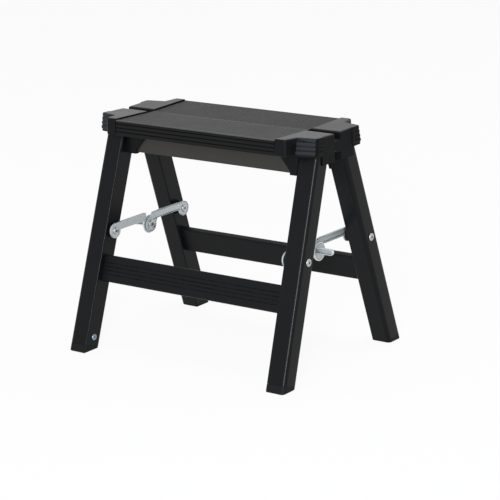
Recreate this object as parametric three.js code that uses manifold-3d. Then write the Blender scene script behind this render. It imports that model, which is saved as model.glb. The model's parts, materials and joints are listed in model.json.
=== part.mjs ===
// A folding step stool: two leaning half-frames hinged along the split of the tread and held open
// by a two-link stay on each side. Millimetres, +Z up, front at -Y, origin on the ground below the
// middle of the tread. Each piece is modelled for the right side of the front half. The left side
// is its mirror image, and the rear half is the front half turned about the vertical axis.

import * as THREE from 'three';
import { mergeVertices } from 'three/addons/utils/BufferGeometryUtils.js';
import Module from 'manifold-3d';

const wasm = await Module();
wasm.setup();

// Stance

const deckHeight = 300;
const footHalfSpread = 133.6;
const topHalfSpread = 34.2;
const footHalfWidth = 171.6;
const legTopInset = 6.1;
const deckSag = THREE.MathUtils.degToRad(1.6);

// Clearances

const fitGap = 0.3;
const turnGap = 0.3;
const layerGap = 0.5;
const splitGap = 1.4;

// Legs, which are rounded rectangular tubes

const legWidth = 27;
const legDepth = 26;
const legWall = 1.5;
const legCorner = 2.4;
const soleHeight = 11.4;

// Feet and the screws that hold them

const plugLength = 30;
const footScrewHeight = 18;
const footScrewRadius = 2;
const footScrewLength = 9;
const footScrewHeadRadius = 4.3;
const footScrewHeadHeight = 2;
const headOverlap = 0.5;

// Rails between the legs

const railBottom = 96.7;
const railHeight = 34.9;
const railDepth = 10;
const railSetback = 8.2;
const railWall = 1.5;
const railGrooves = 4;
const railGroovePitch = 5;
const railGrooveWidth = 1.4;
const railGrooveDepth = 0.6;
const railCorner = 2.4;

// Tread planks

const plankEndInset = 40.5;
const treadHalfWidth = 72.7;
const deckThickness = 2;
const ribPitch = 3;
const ribGrooveWidth = 1;
const ribGrooveDepth = 0.5;
const noseHeight = 20;
const noseThickness = 2;
const noseGrooves = 3;
const noseGroovePitch = 5;
const noseGrooveWidth = 1.2;
const noseGrooveDepth = 0.6;
const noseCorner = 1.4;
const noseEdge = 0.6;
const lipHeight = 10;
const lipThickness = 1.5;
const beamFront = 33.8;
const beamThickness = 2;
const beamHeight = 48;
const beamFlange = 8;

// End caps

const capProud = 1.5;
const capWall = 2.5;
const capRoof = 3.5;
const socketWallThickness = 2;
const capEarWidth = 14.5;
const capRearSetback = 6;
const capEdge = 1.2;
const capCorner = 3;
const blockHeight = 24;
const blockRibs = 4;
const blockRibStep = 0.8;
const blockRibSideStep = 0.3;
const blockRecess = 6;
const blockRootFlare = 4;
const blockRootCorner = 2;
const blockFrontWall = 7;
const blockSideWall = 4.2;
const blockCorner = 5;
const blockBack = 33;
const rearSideWall = 1.7;
const rearHeight = 35.5;
const tongueThickness = 2;
const tongueDrop = 45.8;
const tongueCorner = 1;
const tongueBevel = 10;
const bracketReach = 20.5;
const bracketThickness = 3.2;
const ledgeReach = 17;
const ledgeThickness = 3;
const bracketTipLean = 3;
const bracketTipDrop = 6;
const bracketBendLean = 4.5;
const bracketBendDrop = 10;
const floorReach = 3.5;
const floorThickness = 1.5;
const floorDepth = 3;
const floorRise = 3;

// Hinge of the two halves

const hingeDrop = 17;
const knuckleRadius = 8;
const knuckleStart = 2;
const pinRadius = 3;
const pinHeadRadius = 5;
const pinHeadHeight = 1.4;
const slotGap = 0.4;
const ringThickness = 0.8;
const ringGroove = 0.7;
const ringRadius = 5;
const blindWall = 1.1;

// Stays

const stayHeight = 151.5;
const stayDrop = 6.5;
const linkThickness = 1.8;
const frontLinkOffset = 5.8;
const linkPitch = 3.6;
const eyeRadius = 10;
const frontDiscRadius = 12;
const rearDiscRadius = 10;
const linkBarLow = 0.3;
const linkBarHigh = 9.7;
const frontLinkFlange = 2.2;
const rearLinkFlange = 1.2;
const linkFlangeThickness = 1.4;
const frontBarEnd = 6.6;
const rearBarEnd = 12;
const rearFlangeStart = 16;
const stayRivetRadius = 3;
const stayHeadRadius = 5.3;
const stayHeadHeight = 1.7;
const spacerRadius = 5;
const splayRoom = 0.12;
const knuckleHeadRadius = 6.5;
const washerRadius = 7;
const tabLength = 25;
const tabHeight = 8;
const tabThickness = 1.6;
const tabOffset = 5;
const tabLift = 3;
const tabRim = 1.8;
const tabFloor = 1.3;
const neckInner = 6;
const neckOuter = 9;
const neckTop = 0.5;
const neckBend = 7;
const neckFillet = 3;

// Small rivets

const smallRivetRadius = 2;
const smallRivetHead = 3.5;
const smallRivetHeadHeight = 1.5;
const smallRivetTail = 2.6;
const capRivetDepth = 19;
const capRivetDrop = 38;
const beamRivetDrop = 20;
const beamRivetInset = 7;

// Roundness

const fineSides = 20;
const plainSides = 12;
const cornerSteps = 3;

// Cutting tools run this far past what they cut, and joined solids this far into each other.

const far = 400;
const over = 1;

// Shape helpers

function solidOf(geometry, frame = new THREE.Matrix4()) {
  const bare = geometry.clone().applyMatrix4(frame);
  bare.deleteAttribute('normal');
  bare.deleteAttribute('uv');
  const merged = mergeVertices(bare, 1e-4);
  const mesh = new wasm.Mesh({
    numProp: 3,
    vertProperties: merged.attributes.position.array,
    triVerts: Uint32Array.from(merged.index.array),
  });
  return new wasm.Manifold(mesh);
}

function join(...solids) {
  return solids.reduce((whole, solid) => whole.add(solid));
}

function cut(body, ...tools) {
  return tools.reduce((rest, tool) => rest.subtract(tool), body);
}

function geometryOf(solid, mirrored) {
  const { vertProperties, triVerts } = solid.getMesh();
  const geometry = new THREE.BufferGeometry();
  geometry.setAttribute('position', new THREE.BufferAttribute(vertProperties, 3));
  geometry.setIndex(new THREE.BufferAttribute(triVerts, 1));
  if (mirrored) {
    geometry.scale(-1, 1, 1);
    geometry.index.array.reverse();
  }
  geometry.computeVertexNormals();
  return geometry;
}

function box(low, high, frame) {
  const size = high.map((value, axis) => value - low[axis]);
  const geometry = new THREE.BoxGeometry(...size);
  geometry.translate(...high.map((value, axis) => (value + low[axis]) / 2));
  return solidOf(geometry, frame);
}

// An outline from corners [x, y, radius], where the radius is optional.
function outline(corners) {
  const points = corners.map(([x, y]) => new THREE.Vector2(x, y));
  const rounded = corners.map(([, , radius = 0], index) => {
    const corner = points[index];
    if (radius === 0) return [corner];
    const before = points.at(index - 1).clone().sub(corner).normalize();
    const after = points[(index + 1) % points.length].clone().sub(corner).normalize();
    const half = Math.acos(THREE.MathUtils.clamp(before.dot(after), -1, 1)) / 2;
    const middle = before.clone().add(after).normalize();
    const centre = corner.clone().addScaledVector(middle, radius / Math.sin(half));
    const sweep = (Math.PI - 2 * half) * Math.sign(after.cross(before));
    const spoke = middle.multiplyScalar(-radius);
    return Array.from({ length: cornerSteps + 1 }, (_, step) =>
      spoke.clone().rotateAround(new THREE.Vector2(), (step / cornerSteps - 0.5) * sweep).add(centre));
  });
  return new THREE.Shape(rounded.flat());
}

function rectangle(x0, x1, y0, y1, radius = 0) {
  return outline([[x0, y0, radius], [x1, y0, radius], [x1, y1, radius], [x0, y1, radius]]);
}

function disc(x, y, radius, sides) {
  const turn = (2 * Math.PI) / sides;
  const corners = Array.from({ length: sides }, (_, side) => [
    x + radius * Math.cos((side + 0.5) * turn),
    y + radius * Math.sin((side + 0.5) * turn),
  ]);
  return outline(corners);
}

// Extrudes run along X from an outline in (y, z), along Y from (x, z), and along Z from (x, y).
const axes = {
  x: new THREE.Matrix4().makeBasis(
    new THREE.Vector3(0, 1, 0), new THREE.Vector3(0, 0, 1), new THREE.Vector3(1, 0, 0)),
  y: new THREE.Matrix4().makeBasis(
    new THREE.Vector3(1, 0, 0), new THREE.Vector3(0, 0, 1), new THREE.Vector3(0, -1, 0)),
  z: new THREE.Matrix4(),
};

function prism(axis, shape, from, to, frame = new THREE.Matrix4(), edge = 0) {
  const [low, high] = axis === 'y' ? [-to, -from] : [from, to];
  const geometry = new THREE.ExtrudeGeometry(shape, {
    depth: high - low - 2 * edge,
    bevelEnabled: edge > 0,
    bevelThickness: edge,
    bevelSize: edge,
    bevelOffset: -edge,
    bevelSegments: 2,
  });
  geometry.translate(0, 0, low + edge);
  return solidOf(geometry, frame.clone().multiply(axes[axis]));
}

function rod(axis, radius, from, to, centre, frame, sides = plainSides) {
  return prism(axis, disc(...centre, radius, sides), from, to, frame);
}

// A shallow dome on a rim, turned about X, with its flat face at `seat` and its top at `crown`.
function domeX(radius, seat, crown, centre, frame = new THREE.Matrix4(), sides = plainSides) {
  const height = crown - seat;
  const [rim, shoulder] = [[radius, 0.4], [0.7 * radius, 0.85]];
  const profile = [[0, 0], [radius, 0], rim, shoulder, [0, 1]];
  const points = profile.map(([x, y]) => new THREE.Vector2(x, y * Math.abs(height)));
  const turned = new THREE.LatheGeometry(points, sides);
  turned.rotateZ(height > 0 ? -Math.PI / 2 : Math.PI / 2);
  turned.translate(seat, centre[0], centre[1]);
  return solidOf(turned, frame);
}

// Places

const lean = Math.atan2(footHalfSpread - topHalfSpread, deckHeight);
const splay = Math.atan2(legTopInset * Math.cos(lean), deckHeight);

const leanFrame = new THREE.Matrix4()
  .makeTranslation(0, -footHalfSpread, 0)
  .multiply(new THREE.Matrix4().makeRotationX(-lean));
const legFrame = leanFrame.clone()
  .multiply(new THREE.Matrix4().makeTranslation(footHalfWidth, 0, 0))
  .multiply(new THREE.Matrix4().makeRotationY(-splay));
const intoLeg = legFrame.clone().invert();
const intoLean = leanFrame.clone().invert();

// Each half of the deck tips about its nose, so the split lies lowest.
const deckFrame = new THREE.Matrix4()
  .makeTranslation(0, -treadHalfWidth, deckHeight)
  .multiply(new THREE.Matrix4().makeRotationX(-deckSag))
  .multiply(new THREE.Matrix4().makeTranslation(0, treadHalfWidth, -deckHeight));

// Distance along the leaning plane for a height, at a depth behind the plane.
function alongLean(height, depth) {
  return (height + depth * Math.sin(lean)) / Math.cos(lean);
}

// Sideways place of the leg's face that lies `inset` in from its outer face.
function legFaceX(inset, height) {
  return footHalfWidth - alongLean(height, legDepth / 2) * Math.tan(splay) - inset / Math.cos(splay);
}

// Fore-and-aft place of the leg's face that lies `depth` behind its front face.
function legFaceY(depth, height) {
  return -footHalfSpread + height * Math.tan(lean) + depth / Math.cos(lean);
}

const hingeHeight = deckHeight - hingeDrop;
const treadHalfLength = footHalfWidth - legTopInset - plankEndInset;
const deckUnder = deckHeight - deckThickness;
const treadBack = -splitGap / 2;
const beamBack = beamThickness - beamFront;
const beamBottom = deckHeight - beamHeight;
const noseBottom = deckHeight - noseHeight;
const beamRivetHeight = deckHeight - beamRivetDrop;

const capTop = deckHeight + capProud;
const roofUnder = capTop - capRoof;
const capInner = treadHalfLength + fitGap;
const capFront = -treadHalfWidth - fitGap;
const earOuter = capInner + capEarWidth;
const blockBottom = capTop - blockHeight;
const blockFront = legFaceY(0, blockBottom) - fitGap - blockFrontWall;
const blockOuter = legFaceX(0, blockBottom) + fitGap + blockSideWall;
const rearOuter = legFaceX(0, hingeHeight) + fitGap + rearSideWall;
const rearBottom = capTop - rearHeight;
const roofOverLeg = roofUnder - (treadHalfWidth - topHalfSpread) * Math.tan(deckSag);
const legEnd = (roofOverLeg - fitGap) / Math.cos(lean) - fitGap;
const tongueInset = legWidth + fitGap + tongueThickness;
const beamHalfLength = legFaceX(tongueInset + fitGap, deckHeight);
const beamPlateFront = -beamFront - fitGap;
const bracketFront = beamPlateFront - bracketThickness;

const stayPivot = [
  -footHalfSpread + alongLean(stayHeight, legDepth / 2) * Math.sin(lean) + (legDepth / 2) * Math.cos(lean),
  stayHeight,
];
const knuckle = [0, stayHeight - stayDrop];
const legInnerAtStay = legFaceX(legWidth, stayHeight);
const legOuterAtStay = legFaceX(0, stayHeight);
const frontLinkLayer = legInnerAtStay - frontLinkOffset;
const rearLinkLayer = frontLinkLayer - linkPitch;

// Legs and feet

function legSection(inset, radius = legCorner - inset) {
  return rectangle(inset - legWidth, -inset, inset, legDepth - inset, radius);
}

const footScrewAlong = alongLean(footScrewHeight, legDepth / 2);
const capRivetAlong = alongLean(deckHeight - capRivetDrop, capRivetDepth);

function leg() {
  const section = legSection(0);
  section.holes.push(legSection(legWall));
  const middle = legDepth / 2;
  return cut(
    prism('z', section, soleHeight, legEnd),
    rod('x', stayRivetRadius + turnGap, 0, far, stayPivot, intoLeg),
    rod('x', footScrewRadius + fitGap, -far, -legWidth / 2, [middle, footScrewAlong]),
    rod('x', smallRivetRadius + fitGap, -far, -legWidth / 2, [capRivetDepth, capRivetAlong]),
  );
}

function foot() {
  const plug = prism('z', legSection(legWall + fitGap), 0, soleHeight + plugLength);
  const sole = prism('z', legSection(0), -legDepth, soleHeight - fitGap);
  const ground = box([-far, -far, -far], [far, far, 0], intoLeg);
  const hole = rod('x', footScrewRadius + fitGap, -far, -legWidth + footScrewLength + fitGap,
    [legDepth / 2, footScrewAlong]);
  return cut(join(plug, sole), ground, hole);
}

function footScrew() {
  const centre = [legDepth / 2, footScrewAlong];
  const seat = -legWidth - fitGap;
  const shank = rod('x', footScrewRadius, seat - headOverlap, -legWidth + footScrewLength, centre);
  return join(shank, domeX(footScrewHeadRadius, seat, seat - footScrewHeadHeight, centre));
}

// The corners of a face that faces -Y with grooves across it, from the top down.
function groovedFace(y, middle, count, pitch, width, depth) {
  return Array.from({ length: count }, (_, groove) => {
    const centre = middle + ((count - 1) / 2 - groove) * pitch;
    return [
      [y, centre + width / 2],
      [y + depth, centre + width / 4],
      [y + depth, centre - width / 4],
      [y, centre - width / 2],
    ];
  }).flat();
}

function rail() {
  const [front, back] = [railSetback, railSetback + railDepth];
  const top = railBottom + railHeight;
  const middle = railBottom + railHeight / 2;
  const section = outline([
    [back, railBottom, railCorner],
    [back, top, railCorner],
    [front, top, railCorner],
    ...groovedFace(front, middle, railGrooves, railGroovePitch, railGrooveWidth, railGrooveDepth),
    [front, railBottom, railCorner],
  ]);
  const inside = [front + railWall + railGrooveDepth, back - railWall];
  section.holes.push(rectangle(...inside, railBottom + railWall, top - railWall));
  const bar = prism('x', section, -footHalfWidth, footHalfWidth);
  const besideLeg = [[-legWidth - fitGap, -far, -far], [far, far, far]];
  const right = box(...besideLeg, intoLean.clone().multiply(legFrame));
  const mirror = new THREE.Matrix4().makeRotationZ(Math.PI);
  const left = box(...besideLeg, mirror.multiply(intoLean.clone().multiply(legFrame)));
  return cut(bar, right, left);
}

// Tread

function ribbedTop(from, to) {
  const count = Math.floor((to - from) / ribPitch);
  const start = (from + to) / 2 + (count / 2) * ribPitch;
  return Array.from({ length: count }, (_, rib) => {
    const centre = start - (rib + 0.5) * ribPitch;
    return [
      [centre + ribGrooveWidth / 2, deckHeight],
      [centre + ribGrooveWidth / 4, deckHeight - ribGrooveDepth],
      [centre - ribGrooveWidth / 4, deckHeight - ribGrooveDepth],
      [centre - ribGrooveWidth / 2, deckHeight],
    ];
  }).flat();
}

function tread() {
  const nose = -treadHalfWidth;
  const beam = [
    [-beamFront, beamBottom],
    [-beamFront + beamFlange, beamBottom],
    [-beamFront + beamFlange, beamBottom + beamThickness],
    [beamBack, beamBottom + beamThickness],
  ];
  const section = outline([
    [nose, deckHeight, noseCorner],
    ...groovedFace(nose, deckHeight - noseHeight / 2, noseGrooves, noseGroovePitch, noseGrooveWidth,
      noseGrooveDepth),
    [nose, noseBottom, noseEdge],
    [nose + noseThickness, noseBottom, noseEdge],
    [nose + noseThickness, deckUnder],
    [-beamFront, deckUnder],
    ...beam,
    [beamBack, deckUnder],
    [treadBack - lipThickness, deckUnder],
    [treadBack - lipThickness, deckHeight - lipHeight],
    [treadBack, deckHeight - lipHeight],
    [treadBack, deckHeight],
    ...ribbedTop(nose + noseCorner, treadBack),
  ]);
  const longBeam = outline([[-beamFront, deckUnder], ...beam, [beamBack, deckUnder]]);
  return cut(
    join(
      prism('x', section, -treadHalfLength, treadHalfLength),
      prism('x', longBeam, -beamHalfLength, beamHalfLength),
    ),
    ...[-1, 1].map((side) => rod('y', smallRivetRadius + fitGap, -beamFront - over, beamBack + over,
      [side * (capInner - beamRivetInset), beamRivetHeight])),
  );
}

// End caps. A cap sockets over the leg's top, closes the plank's end, and carries the plank's beam
// on a bracket. Hinge knuckles stand at its back.

function slot(index) {
  const inner = legFaceX(legWidth, hingeHeight) + knuckleStart;
  const room = rearOuter - inner - 3 * slotGap - ringThickness - turnGap;
  const width = room / 4;
  const start = inner + (index - 1) * (width + slotGap) + (index === 4 ? ringThickness + turnGap : 0);
  return [start, start + width];
}

function capPlan(front, outer) {
  return outline([
    [capInner, capFront],
    [earOuter, capFront, capCorner],
    [earOuter + blockRootFlare, front - blockRecess, blockRootCorner],
    [outer, front, blockCorner],
    [outer, -blockBack],
    [rearOuter, capEdge - blockBack],
    [rearOuter, -capRearSetback, capCorner],
    [capInner, -capRearSetback],
  ]);
}

// The block around the leg steps outward from rib to rib towards its bottom edge.
function ribbedBlock() {
  const height = blockHeight / blockRibs;
  return Array.from({ length: blockRibs }, (_, rib) => {
    const front = blockFront + (blockRibs - 1 - rib) * blockRibStep;
    const outer = blockOuter - (blockRibs - 1 - rib) * blockRibSideStep;
    const inner = earOuter - capWall;
    const top = capTop - rib * height - (rib === 0 ? capEdge : 0);
    const plan = [
      [inner, front - blockRecess],
      [earOuter + blockRootFlare, front - blockRecess, blockRootCorner],
      [outer, front, blockCorner],
      [outer, -blockBack],
      [inner, -blockBack],
    ];
    return prism('z', outline(plan), blockBottom, top, deckFrame);
  });
}

function pinBore(slots) {
  const [, last] = slot(4);
  const end = slots.includes(4) ? last - blindWall : far;
  return rod('x', pinRadius + turnGap, capInner, end, [0, hingeHeight], undefined, fineSides);
}

function knuckles(slots) {
  const root = -knuckleRadius - over;
  const height = [hingeHeight - knuckleRadius, hingeHeight + knuckleRadius];
  return slots.flatMap((index) => {
    const [start, end] = slot(index);
    return [
      rod('x', knuckleRadius, start, end, [0, hingeHeight], undefined, fineSides),
      box([start, root, height[0]], [end, 0, height[1]]),
    ];
  });
}

function endCap(slots) {
  const top = blockFront + (blockRibs - 1) * blockRibStep;
  const outer = blockOuter - (blockRibs - 1) * blockRibSideStep;
  const shell = prism('z', capPlan(top, outer), noseBottom, capTop, deckFrame, capEdge);
  const socketWall = legFaceX(tongueInset, deckHeight);
  const back = box(
    [socketWall, -blockBack, rearBottom],
    [rearOuter, -capRearSetback, capTop - capEdge],
    deckFrame);

  const earRoom = box(
    [capInner + capWall, capFront + capWall, 0],
    [earOuter - capWall, top - capWall, roofUnder],
    deckFrame);
  const besideLeg = box([-tongueInset, -far, -far], [far, far, far], legFrame);
  const innerRoom = cut(
    box([capInner + capWall, top - capWall - over, 0], [far, -capRearSetback - capWall, roofUnder], deckFrame),
    besideLeg);
  const socketFront = (height) => legFaceY(-fitGap - socketWallThickness, height);
  const mouth = blockBottom - over;
  const frontRoom = prism('x', outline([
    [blockFront + capWall, mouth],
    [socketFront(mouth), mouth],
    [socketFront(roofUnder), roofUnder],
    [top + capWall, roofUnder],
  ]), earOuter + capWall, outer - blockSideWall, deckFrame);
  const foldRoom = prism('x', outline([
    [-turnGap, hingeHeight],
    [far, hingeHeight],
    [far, 0],
    [-turnGap - hingeHeight * Math.tan(lean), 0],
  ]), 0, far);
  const body = cut(join(shell, ...ribbedBlock(), back), earRoom, innerRoom, frontRoom, foldRoom);

  const whole = join(body, tongue(), bracket(), ledge());
  const socket = prism('z', legSection(-fitGap), 0, legEnd + fitGap, legFrame);
  const slotCorner = [0, beamPlateFront, beamBottom - fitGap];
  const slotEnd = beamHalfLength + fitGap;
  const beamSlot = join(
    box(slotCorner, [slotEnd, beamBack + fitGap, deckUnder + fitGap], deckFrame),
    box(slotCorner, [slotEnd, fitGap + beamFlange - beamFront, fitGap + beamThickness + beamBottom], deckFrame));
  const hinge = [0, hingeHeight];
  const scoop = rod('x', knuckleRadius + slotGap, socketWall - over, far, hinge, undefined, fineSides);
  const beamRivetHole = rod('y', smallRivetRadius + fitGap, bracketFront - over, 0,
    [capInner - beamRivetInset, beamRivetHeight], deckFrame);
  const capRivetHole = rod('x', smallRivetRadius + fitGap, -far, -legWidth / 2,
    [capRivetDepth, capRivetAlong], legFrame);
  const pierced = cut(whole, socket, beamSlot, scoop, beamRivetHole, capRivetHole);
  return cut(join(pierced, ...knuckles(slots)), pinBore(slots));
}

// The tongue lies on the leg's inner face.
function tongue() {
  const [low, high] = [alongLean(deckHeight - tongueDrop, 0), alongLean(roofUnder, 0) + over];
  const face = outline([
    [0, low],
    [legDepth, low, tongueCorner],
    [legDepth, high - tongueBevel],
    [0, high],
  ]);
  return prism('x', face, -tongueInset, -legWidth - fitGap, legFrame);
}

// The bracket is an upright plate in front of the plank's beam, with a floor below the beam's end.
function bracket() {
  const tip = capInner - bracketReach;
  const inLeg = legFaceX(tongueInset, deckHeight) + over;
  const top = deckUnder - fitGap;
  const low = beamBottom - fitGap - floorThickness;
  const plate = outline([
    [tip, top],
    [tip + bracketTipLean, beamRivetHeight - bracketTipDrop],
    [tip + bracketBendLean, beamRivetHeight - bracketBendDrop],
    [capInner - floorReach, beamBottom + floorRise],
    [capInner - floorReach, low],
    [inLeg, low],
    [inLeg, roofUnder + over],
    [capInner + over, roofUnder + over],
    [capInner + over, top],
  ]);
  const floor = box(
    [capInner - floorReach, bracketFront, low],
    [inLeg, -beamFront + floorDepth, beamBottom - fitGap],
    deckFrame);
  return join(prism('y', plate, bracketFront, beamPlateFront, deckFrame), floor);
}

// The ledge carries the plank's deck.
function ledge() {
  const top = deckUnder - fitGap;
  return box(
    [capInner - ledgeReach, -treadHalfWidth + noseThickness + fitGap, top - ledgeThickness],
    [capInner + capWall, -capRearSetback - capEdge, top],
    deckFrame);
}

// Hinge pins and the clips that hold them

function hingePin() {
  const [first] = slot(1);
  const [, last] = slot(4);
  const [, third] = slot(3);
  const seat = first - slotGap;
  const groove = [third + fitGap / 2, third + slotGap + ringThickness + fitGap / 2];
  const centre = [0, hingeHeight];
  const shank = join(
    rod('x', pinRadius, seat - headOverlap, groove[0], centre),
    rod('x', pinRadius - ringGroove, seat, last - blindWall - turnGap, centre),
    rod('x', pinRadius, groove[1], last - blindWall - turnGap, centre));
  return join(shank, domeX(pinHeadRadius, seat, seat - pinHeadHeight, centre));
}

function pinClip() {
  const [, third] = slot(3);
  const from = third + (slotGap + turnGap) / 2;
  const to = from + ringThickness;
  const centre = [0, hingeHeight];
  const mouth = pinRadius - ringGroove;
  return cut(
    rod('x', ringRadius, from, to, centre),
    rod('x', pinRadius - ringGroove + fitGap, from - over, to + over, centre),
    box([from - over, -mouth, hingeHeight], [to + over, mouth, hingeHeight + ringRadius + over]));
}

// Stays

function linkBar(from, to) {
  return rectangle(from, to, stayHeight - linkBarLow, stayHeight + linkBarHigh);
}

function flanges(layer, flange, from, to, lowerTo = to) {
  const [low, high] = [stayHeight - linkBarLow, stayHeight + linkBarHigh];
  const reach = layer + linkThickness + flange;
  return [
    box([layer, from, high - linkFlangeThickness], [reach, to, high]),
    box([layer, from, low], [reach, lowerTo, low + linkFlangeThickness]),
  ];
}

function linkHoles(layer, pivot, knuckleHole) {
  const [from, to] = [layer - over, layer + linkThickness + over];
  return [
    rod('x', stayRivetRadius + turnGap, from, to, pivot, undefined, fineSides),
    rod('x', knuckleHole, from, to, knuckle, undefined, fineSides),
  ];
}

// The front link ends in the outer knuckle disc, which carries the finger tab.
function frontLink() {
  const [from, to] = [frontLinkLayer, frontLinkLayer + linkThickness];
  const [pivotY] = stayPivot;
  const web = join(
    prism('x', disc(...stayPivot, eyeRadius, fineSides), from, to),
    prism('x', disc(...knuckle, frontDiscRadius, fineSides), from, to),
    prism('x', linkBar(pivotY, -frontBarEnd), from, to));
  const channel = flanges(from, frontLinkFlange, pivotY + eyeRadius, -frontBarEnd, -frontDiscRadius);
  const plain = cut(join(web, ...channel), ...linkHoles(from, stayPivot, stayRivetRadius + turnGap));
  return join(plain, fingerTab(to));
}

// A shallow tray that stands out from the knuckle, with its rim towards the front.
function fingerTab(root) {
  const middle = knuckle[1] + tabLift;
  const tray = (inset) => {
    const half = tabHeight / 2 - inset;
    const [start, end] = [root - headOverlap, root + tabLength - inset];
    const roundness = half - tabRim / 10;
    return outline([
      [start, middle - half],
      [end, middle - half, roundness],
      [end, middle + half, roundness],
      [start, middle + half],
    ]);
  };
  const front = -tabOffset - tabThickness - tabRim;
  const solid = prism('y', tray(0), front, -tabOffset);
  const hollow = prism('y', tray(tabFloor), front - over, -tabOffset - tabThickness);
  const clear = box([root - linkThickness, front - linkThickness, 0], [root, 0, deckHeight]);
  return cut(solid, cut(hollow, clear), clear);
}

// The rear link rises in a curved neck from the inner knuckle disc.
function rearLink() {
  const [from, to] = [rearLinkLayer, rearLinkLayer + linkThickness];
  const pivot = [-stayPivot[0], stayPivot[1]];
  const [low, high] = [stayHeight - linkBarLow, stayHeight + linkBarHigh];
  const neck = outline([
    [-neckInner, knuckle[1]],
    [neckOuter, knuckle[1]],
    [rearBarEnd, low, neckFillet],
    [rearFlangeStart, low],
    [rearFlangeStart, high],
    [neckTop, high, neckBend],
  ]);
  const web = join(
    prism('x', disc(...pivot, eyeRadius, fineSides), from, to),
    prism('x', disc(...knuckle, rearDiscRadius, fineSides), from, to),
    prism('x', neck, from, to),
    prism('x', linkBar(rearBarEnd, pivot[0]), from, to));
  const channel = flanges(rearLinkLayer, rearLinkFlange, rearFlangeStart, pivot[0] - eyeRadius);
  return cut(join(web, ...channel), ...linkHoles(rearLinkLayer, pivot, stayRivetRadius + turnGap));
}

// Stay rivets pass through both walls of the leg, the spacer and the link's eye.
function stayRivet(layer) {
  const inner = layer - fitGap;
  const outer = legOuterAtStay + fitGap + splayRoom;
  return join(
    rod('x', stayRivetRadius, inner - headOverlap, outer + headOverlap, stayPivot),
    domeX(stayHeadRadius, inner, inner - stayHeadHeight, stayPivot),
    domeX(stayHeadRadius, outer, outer + stayHeadHeight, stayPivot));
}

function spacer(layer) {
  const [from, to] = [layer + linkThickness + fitGap, legInnerAtStay - fitGap - splayRoom];
  return cut(
    rod('x', spacerRadius, from, to, stayPivot),
    rod('x', stayRivetRadius + turnGap, from - over, to + over, stayPivot));
}

// The knuckle rivet's head and shank turn with the rear link. Its tail turns with the front link.
function knuckleRivet() {
  const seat = rearLinkLayer - fitGap;
  const end = frontLinkLayer - layerGap;
  return join(
    rod('x', stayRivetRadius, seat - headOverlap, end, knuckle),
    domeX(knuckleHeadRadius, seat, seat - stayHeadHeight, knuckle, undefined, fineSides));
}

function knuckleWasher() {
  const [from, to] = [rearLinkLayer + linkThickness + fitGap, frontLinkLayer - layerGap];
  return cut(
    rod('x', washerRadius, from, to, knuckle, undefined, fineSides),
    rod('x', stayRivetRadius + turnGap, from - over, to + over, knuckle));
}

function knuckleTail() {
  return rod('x', stayRivetRadius, frontLinkLayer, frontLinkLayer + linkThickness, knuckle);
}

// Small rivets

function beamRivet() {
  const centre = [capInner - beamRivetInset, beamRivetHeight];
  const [front, back] = [bracketFront - fitGap, beamBack + fitGap];
  return join(
    rod('y', smallRivetRadius, front - headOverlap, back + headOverlap, centre),
    rod('y', smallRivetHead, front - smallRivetHeadHeight, front, centre),
    rod('y', smallRivetHead, back, back + smallRivetHeadHeight, centre));
}

function capRivet() {
  const centre = [capRivetDepth, capRivetAlong];
  const seat = -tongueInset - fitGap;
  const tail = -legWidth + legWall + fitGap;
  return join(
    rod('x', smallRivetRadius, seat - headOverlap, tail + headOverlap, centre),
    domeX(smallRivetHead, seat, seat - smallRivetHeadHeight, centre),
    rod('x', smallRivetTail, tail, tail + smallRivetHeadHeight, centre));
}

// Materials

function material(colour, roughness, metalness) {
  return new THREE.MeshStandardMaterial({ color: colour, roughness, metalness });
}

const blackAluminium = material(0x1c1c1d, 0.45, 0.6);
const deckAluminium = material(0x303031, 0.5, 0.6);
const blackPlastic = material(0x1a1b1d, 0.55, 0);
const footPlastic = material(0x161617, 0.7, 0);
const zinc = material(0xc4c8ca, 0.35, 0.9);
const steel = material(0x8d9094, 0.35, 0.9);

// Assembly

const stool = new THREE.Group();

function place(parent, name, solid, finish, mirrored = false) {
  const mesh = new THREE.Mesh(geometryOf(solid, mirrored), finish);
  mesh.name = name;
  parent.add(mesh);
}

const links = { front: frontLink(), rear: rearLink() };
const layers = { front: frontLinkLayer, rear: rearLinkLayer };
const capSlots = { right: [1, 3], left: [2, 4] };

for (const half of ['front', 'rear']) {
  const turned = half === 'rear';
  const frame = new THREE.Group();
  frame.rotation.z = turned ? Math.PI : 0;
  stool.add(frame);

  const deck = new THREE.Group();
  deck.applyMatrix4(deckFrame);
  frame.add(deck);
  place(deck, `${half}_tread`, tread(), deckAluminium);

  const leaning = new THREE.Group();
  leaning.position.y = -footHalfSpread;
  leaning.rotation.x = -lean;
  frame.add(leaning);
  place(leaning, `${half}_rail`, rail(), blackAluminium);

  for (const hand of ['right', 'left']) {
    const mirrored = hand === 'left';
    const sign = mirrored ? -1 : 1;
    const side = mirrored === turned ? 'right' : 'left';
    const prefix = `${half}_${side}`;

    const upright = new THREE.Group();
    upright.position.x = sign * footHalfWidth;
    upright.rotation.y = -sign * splay;
    leaning.add(upright);
    place(upright, `${prefix}_leg`, leg(), blackAluminium, mirrored);
    place(upright, `${prefix}_foot`, foot(), footPlastic, mirrored);
    place(upright, `${prefix}_foot_screw`, footScrew(), zinc, mirrored);
    place(upright, `${prefix}_cap_rivet`, capRivet(), blackPlastic, mirrored);

    place(frame, `${prefix}_end_cap`, endCap(capSlots[hand]), blackPlastic, mirrored);
    place(deck, `${prefix}_beam_rivet`, beamRivet(), steel, mirrored);
    place(frame, `${prefix}_stay_rivet`, stayRivet(layers[half]), zinc, mirrored);
    place(frame, `${prefix}_stay_spacer`, spacer(layers[half]), zinc, mirrored);
  }
}

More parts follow.
